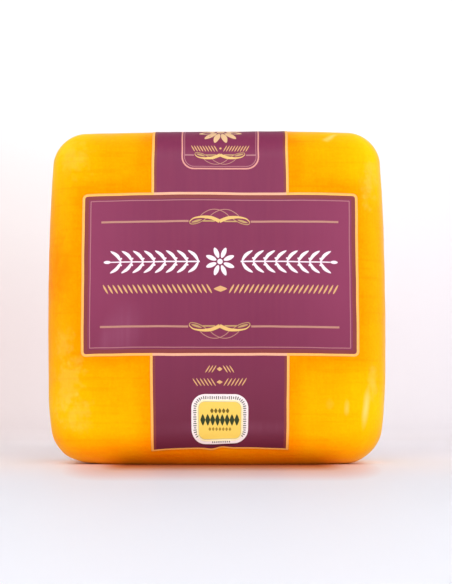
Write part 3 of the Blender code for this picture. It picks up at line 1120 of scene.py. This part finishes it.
def draw_leaf_row(row_middle, reach, count, lean, leaf):
    """Leaves in a row on both sides of a middle, leaning away from it."""
    across, up = row_middle
    start, end = reach
    length, width = leaf
    lean = math.radians(lean)
    strokes = []
    for side in (-1, 1):
        for index in range(count):
            root = start + (end - start) * index / (count - 1)
            ahead = Vector((side * math.cos(lean), math.sin(lean))) * length / 2
            middle = Vector((across + side * root, up))
            strokes.append(draw_stroke([middle - ahead, middle + ahead], leaf_width(width)))
    return strokes


# White ink, opaque and faintly pink from the purple beneath it
white_ink = new_ink("opaque white ink", "E6D4E0", "F0E2EA")
middle_x, middle_y = LAUREL_MIDDLE
laurel = [draw_dot(middle_x, middle_y, ROSETTE_DOT)]
laurel += draw_rosette(
    middle_x, middle_y, ROSETTE_PETALS, ROSETTE_INNER, ROSETTE_RADIUS, ROSETTE_PETAL_WIDTH,
)
for side in (-1, 1):
    stem = [(middle_x + side * LAUREL_START, middle_y), (middle_x + side * LAUREL_END, middle_y)]
    laurel.append(draw_stroke(stem, taper_width(LAUREL_STEM_WIDTHS)))
    for pair in range(LAUREL_PAIRS):
        root = LAUREL_START + (LAUREL_END - LAUREL_START) * (pair + 0.1) / LAUREL_PAIRS
        berry = middle_x + side * (root + LAUREL_LEAF * BERRY_OUT)
        for fold in (-1, 1):
            lean = fold * LAUREL_LEAN
            if side < 0:
                lean = math.pi - lean
            laurel.append(draw_leaf(
                middle_x + side * root, middle_y, lean, LAUREL_LEAF, LAUREL_LEAF_WIDTH,
                OVERPRINT, LAUREL_CURL * fold * side,
            ))
            if pair < LAUREL_PAIRS - 1:
                laurel.append(draw_dot(berry, middle_y + fold * BERRY_UP, BERRY, OVERPRINT / 2))
    outward = 0 if side > 0 else math.pi
    laurel.append(draw_leaf(*stem[1], outward, LAUREL_TIP, LAUREL_LEAF_WIDTH, OVERPRINT / 2))
print_ink("laurel", laurel, white_ink)

# Soft gold ink for the rows of leaves
soft_gold_ink = new_ink("soft gold ink", "CE9C68", "D8A874")
leaf_rows = []
for row_middle, reach, count, lean, leaf, (half_length, width) in GOLD_ROWS:
    leaf_rows += draw_leaf_row(row_middle, reach, count, lean, leaf)
    across, up = row_middle
    lozenge = [(across - half_length, up), (across + half_length, up)]
    leaf_rows.append(draw_stroke(lozenge, lozenge_width(width)))
print_ink("gold_leaf_rows", leaf_rows, soft_gold_ink)


# The badge.
# A double line with round lower corners frames the upper part of the band, and runs on over the top
# edge. In it stand a gold rosette, a row of small leaves and a rule that the small flourish breaks.
BADGE_MIDDLE = 0.0001
BADGE_HALF_WIDTH = 0.0213
BADGE_BOTTOM = 0.0683
BADGE_TOP = 0.1180
BADGE_CORNER = 0.0071
BADGE_LINE = 0.0008
BADGE_INNER_GAP = 0.0013
BADGE_INNER_LINE = 0.0004
BADGE_RULE_NEAR = 0.0143
BADGE_RULE_WIDTH = 0.0008
BADGE_ROW_UP = 0.0804
BADGE_ROW_DOT = 0.0006
BADGE_ROSETTE_UP = 0.0960
BADGE_PETALS = 12
BADGE_ROSETTE_RADIUS = 0.0122
BADGE_ROSETTE_INNER = 0.0030
BADGE_PETAL_WIDTH = 0.0031
BADGE_ROSETTE_DOT = 0.0022

badge_left = BADGE_MIDDLE - BADGE_HALF_WIDTH
badge_right = BADGE_MIDDLE + BADGE_HALF_WIDTH
badge_outer = draw_ring(badge_left, badge_right, BADGE_BOTTOM, BADGE_TOP, BADGE_CORNER, BADGE_LINE, 8)
badge_frame_ink = new_ink("salmon gold ink", "CE8880", "D6968A")
print_ink("badge_frame", [badge_outer], badge_frame_ink)
inset = BADGE_INNER_GAP + BADGE_INNER_LINE / 2
badge_lines = [draw_ring(
    badge_left + inset, badge_right - inset, BADGE_BOTTOM + inset, BADGE_TOP - inset,
    BADGE_CORNER - inset, BADGE_INNER_LINE, 8,
)]
for side in (-1, 1):
    ends = sorted((
        PRINT_MIDDLE + side * BADGE_RULE_NEAR,
        BADGE_MIDDLE + side * (BADGE_HALF_WIDTH - inset - BADGE_INNER_LINE),
    ))
    badge_lines.append(draw_bar(*ends, BADGE_RULE, BADGE_RULE_WIDTH))
print_ink("badge_lines", badge_lines, hairline_ink)
badge_row = draw_leaf_row((BADGE_MIDDLE, BADGE_ROW_UP), (0.0026, 0.0150), 9, 62, (0.0042, 0.0005))
badge_row.append(draw_dot(BADGE_MIDDLE, BADGE_ROW_UP, BADGE_ROW_DOT))
print_ink("badge_leaf_row", badge_row, soft_gold_ink)
badge_rosette = draw_rosette(
    BADGE_MIDDLE, BADGE_ROSETTE_UP, BADGE_PETALS, BADGE_ROSETTE_INNER, BADGE_ROSETTE_RADIUS,
    BADGE_PETAL_WIDTH,
)
badge_rosette.append(draw_dot(BADGE_MIDDLE, BADGE_ROSETTE_UP, BADGE_ROSETTE_DOT))
pale_gold_ink = new_ink("pale gold ink", "DAB082", "E2BC90", 0.4)
print_ink("badge_rosette", badge_rosette, pale_gold_ink)


# The seal.
# A small sticker of white paper with round corners, stuck over the lower end of the band. Its lower edge
# lifts a little. A ring of ticks runs round a yellow field with three rows of small lozenges.
SEAL_SHIFT = 0.00175
SEAL_MIDDLE = -0.0674
SEAL_HALF_WIDTH = 0.0152
SEAL_HALF_HEIGHT = 0.0130
SEAL_CORNER = 0.0074
SEAL_WAVE = 0.0003
SEAL_LOW = 0.00022
SEAL_HIGH = 0.00040
SEAL_STEP = 0.0007
SEAL_LIFT = 0.0006
SEAL_LIFT_REACH = 0.004
SEAL_LIFT_MIDDLE = 0.002
SEAL_LIFT_RANGE = (0.012, 0.002)
FIELD_HALF_WIDTH = 0.0114
FIELD_TOP = -0.0584
FIELD_BOTTOM = -0.0780
FIELD_CORNER = 0.0036
FIELD_LINE = 0.00028
FIELD_LINE_OUT = 0.0001
CREAM_MARGIN = 0.0010
SEAL_INK_LOW = 0.00037
SEAL_INK_HIGH = 0.00047
TICK = 0.0005
TICK_LENGTH = 0.0017
SHORT_TICK = 0.7
TICK_INSET = 0.0019
TICK_SPACING = 0.00115
RING_FOOT = 0.0012
FOOT_TICKS = (-0.0049, 0.0063)
FOOT_TICK_UP = (0.0006, 0.0014)

seal_bottom = SEAL_MIDDLE - SEAL_HALF_HEIGHT
seal_top = SEAL_MIDDLE + SEAL_HALF_HEIGHT


def draw_patch(left, right, bottom, top, corner, height=0.0, segments=8):
    """A flat patch with rounded corners, cut finely enough to bend."""
    patch = add_flat_rectangle("patch", left, right, bottom, top)
    round_corners(patch, lambda place: True, corner, segments)
    cut_evenly(0, left, right, SEAL_STEP)
    cut_evenly(1, bottom, top, SEAL_STEP)
    bpy.ops.object.mode_set(mode="OBJECT")
    for vert in patch.data.vertices:
        vert.co.z = height
    return patch


def lift_edge(pieces):
    """Lift the lower edge of the sticker off the label, and let it wave as the band beneath it does."""
    for piece in pieces:
        for vert in piece.data.vertices:
            lift = 1 - ease(vert.co.y, seal_bottom, seal_bottom + SEAL_LIFT_REACH)
            vert.co.z += SEAL_LIFT * lift * ease(abs(vert.co.x - SEAL_LIFT_MIDDLE), *SEAL_LIFT_RANGE)
            low_down = ease(vert.co.y, SEAL_MIDDLE, seal_bottom)
            vert.co.y += SEAL_WAVE * math.tanh(vert.co.x / BAND_END_WAVE_LENGTH) * low_down ** 3


def print_seal(name, strokes, ink):
    lift_edge(strokes)
    print_ink(name, strokes, ink, SEAL_SHIFT, SEAL_INK_LOW, SEAL_INK_HIGH)


seal = draw_patch(-SEAL_HALF_WIDTH, SEAL_HALF_WIDTH, seal_bottom, seal_top, SEAL_CORNER, segments=12)
seal.name = "seal_sticker"
lift_edge([seal])
lay_sheet(seal, SEAL_SHIFT, SEAL_LOW, SEAL_HIGH)
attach(seal, "root")
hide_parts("seal")

# Sticker paper, white with a faint pink cast, light thrown by the label around it painted into its colour,
# and smooth
sticker = new_ink("white sticker paper", "ECE0E2", "F0E6E8", 0.42)
seal.data.materials.append(sticker)

cream_ink = new_ink("cream ink", "EEE4B8", "F2E8C0")
yellow_ink = new_ink("warm yellow ink", "E8C656", "ECCC60")
outline_ink = new_ink("grey olive ink", "BCAE7C", "C4B888")
green_ink = new_ink("dark green ink", "26330F", "2E3C16")
brown_ink = new_ink("brown ink", "6A5608", "745F10")
olive_ink = new_ink("olive ink", "98781C", "A48428")
grey_ink = new_ink("grey green ink", "46543F", "52604B")

cream = draw_patch(
    -FIELD_HALF_WIDTH - CREAM_MARGIN, FIELD_HALF_WIDTH + CREAM_MARGIN, FIELD_BOTTOM - CREAM_MARGIN,
    FIELD_TOP + CREAM_MARGIN, FIELD_CORNER + CREAM_MARGIN,
)
print_seal("seal_cream", [cream], cream_ink)
field = draw_patch(-FIELD_HALF_WIDTH, FIELD_HALF_WIDTH, FIELD_BOTTOM, FIELD_TOP, FIELD_CORNER, OVERPRINT)
print_seal("seal_field", [field], yellow_ink)
outline = draw_ring(
    -FIELD_HALF_WIDTH - FIELD_LINE_OUT, FIELD_HALF_WIDTH + FIELD_LINE_OUT, FIELD_BOTTOM - FIELD_LINE_OUT,
    FIELD_TOP + FIELD_LINE_OUT, FIELD_CORNER, FIELD_LINE, 8, 2 * OVERPRINT,
)
print_seal("seal_outline", [outline], outline_ink)

# Rows of upright lozenges: place up the seal, count, spacing, width and length
for name, ink, up, count, spacing, width, length in (
    ("seal_brown_row", brown_ink, -0.0633, 5, 0.0021, 0.0018, 0.0027),
    ("seal_green_row", green_ink, -0.0681, 8, 0.0026, 0.0026, 0.0060),
    ("seal_olive_row", olive_ink, -0.0729, 7, 0.0018, 0.0014, 0.0020),
):
    lozenges = []
    for index in range(count):
        across = (index - (count - 1) / 2) * spacing
        upright = [(across, up - length / 2), (across, up + length / 2)]
        lozenges.append(draw_stroke(upright, lozenge_width(width), 2 * OVERPRINT))
    print_seal(name, lozenges, ink)
ring_half_width = SEAL_HALF_WIDTH - TICK_INSET
ring_half_height = SEAL_HALF_HEIGHT - TICK_INSET
ring_corner = SEAL_CORNER - TICK_INSET
straights = (2 * (ring_half_height - ring_corner), 2 * (ring_half_width - ring_corner))
corner_length = QUARTER_TURN * ring_corner
around = 2 * sum(straights) + 4 * corner_length
tick_count = round(around / TICK_SPACING)


def ring_place(distance):
    """Point and outward turn at a distance along the ring, from the middle of its foot, clockwise."""
    core = Vector((ring_half_width - ring_corner, ring_half_height - ring_corner))
    distance = (distance + core.x) % around
    for quarter, (start, turn) in enumerate((
        ((core.x, -core.y), -QUARTER_TURN), ((-core.x, -core.y), math.pi), ((-core.x, core.y), QUARTER_TURN),
        ((core.x, core.y), 0.0),
    )):
        straight = straights[(quarter + 1) % 2]
        ahead = Vector((math.sin(turn), -math.cos(turn)))
        if distance < straight:
            out = Vector((math.cos(turn), math.sin(turn)))
            return Vector(start) + ahead * distance + out * ring_corner, turn
        distance -= straight
        if distance < corner_length:
            bent = turn - distance / ring_corner
            out = Vector((math.cos(bent), math.sin(bent)))
            return Vector(start) + ahead * straight + out * ring_corner, bent
        distance -= corner_length
    return ring_place(0.0)


ticks = []
for index in range(tick_count):
    point, turn = ring_place(around * index / tick_count)
    if point.y < RING_FOOT - ring_half_height:
        continue
    half_tick = TICK_LENGTH / 2 * (1.0 if index % 3 else SHORT_TICK)
    out = Vector((math.cos(turn), math.sin(turn))) * half_tick
    middle = point + Vector((0, SEAL_MIDDLE))
    ticks.append(draw_stroke([middle - out, middle + out], even_width(TICK)))
for across in even_places(*FOOT_TICKS, TICK_SPACING):
    upright = [(across, seal_bottom + up) for up in FOOT_TICK_UP]
    ticks.append(draw_stroke(upright, even_width(TICK)))
print_seal("seal_ticks", ticks, grey_ink)
